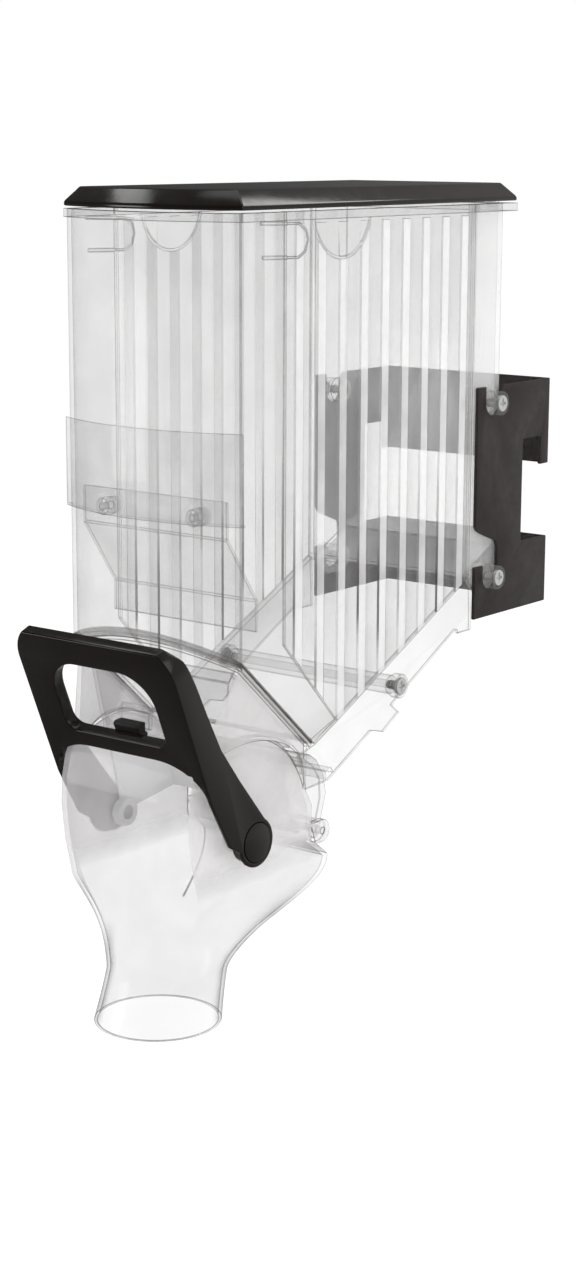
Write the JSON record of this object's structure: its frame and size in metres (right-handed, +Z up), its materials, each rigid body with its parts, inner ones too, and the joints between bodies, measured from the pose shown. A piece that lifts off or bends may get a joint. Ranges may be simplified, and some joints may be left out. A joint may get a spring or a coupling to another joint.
{
  "type": "gravity bulk food bin",
  "caption": "Clear gravity-fed food bin with a hinged lid, a looped handle that swings a sector gate in its nozzle, and a steel bracket that hangs on a crossbar.",
  "frame": {"origin": "middle of the bracket's seat on the crossbar", "axes": "+Z up, -Y towards the front of the bin, +X to the right as seen from behind the handle"},
  "size_m": [0.1688, 0.4465, 0.575],
  "materials": {
    "powder_steel": "fine satin powder coat",
    "clear_wall": "clear moulded polycarbonate",
    "clear_trim": "clear moulded polycarbonate",
    "clear_nozzle": "clear moulded polycarbonate",
    "black_gloss": "polished moulding",
    "screw_steel": "zinc plated",
    "spring_steel": "drawn wire",
    "seal_rubber": "soft moulded strip",
    "bumper_rubber": "matte moulded block",
    "frosted_gate": "translucent moulded sector"
  },
  "bodies": {
    "bracket": {"rail_bracket": "powder_steel"},
    "bin": {"hopper_front": "clear_wall", "side_panel_left": "clear_wall", "side_panel_right": "clear_wall", "rear_column": "clear_wall", "chute_floor": "clear_wall", "chute_skirts": "clear_wall", "chute_brace": "clear_wall", "top_rim": "clear_wall", "label_holder": "clear_trim", "flow_baffle": "clear_trim", "baffle_screws": "clear_trim", "lid_hinge_pins": "screw_steel", "hanger_sleeves": "clear_trim", "hanger_screws": "screw_steel", "chute_sleeves": "clear_trim", "chute_screws": "screw_steel", "nozzle_seal": "seal_rubber", "nozzle_housing": "clear_nozzle", "throat_funnel": "clear_trim", "stop_block": "clear_trim", "stop_bumper": "bumper_rubber", "latch_pin": "clear_trim"},
    "lid": {"lid": "black_gloss"},
    "dispenser": {"handle": "black_gloss", "gate": "frosted_gate", "pivot_pins": "screw_steel", "pivot_screws": "screw_steel", "pivot_caps": "black_gloss", "return_springs": "spring_steel"},
    "latch": {"nozzle_latch": "clear_trim"}
  },
  "joints": [
    {"name": "bin_lift", "type": "slide", "parent": "bracket", "child": "bin", "axis": [0, 0, 1], "range_m": [0, 0.019]},
    {"name": "lid_hinge", "type": "hinge", "parent": "bin", "child": "lid", "pos_m": [0, -0.027, 0.182], "axis": [-1, 0, 0], "range_deg": [0, 100]},
    {"name": "handle_turn", "type": "hinge", "parent": "bin", "child": "dispenser", "pos_m": [0, -0.33, -0.246], "axis": [1, 0, 0], "range_deg": [0, 55], "stiffness_Nm_per_rad": 0.3, "springref_deg": -57.3, "deforming": ["return_springs"]},
    {"name": "latch_turn", "type": "hinge", "parent": "bin", "child": "latch", "pos_m": [0, -0.24, -0.261], "axis": [-1, 0, 0], "range_deg": [0, 20], "stiffness_Nm_per_rad": 0.1, "springref_deg": -28.65}
  ]
}
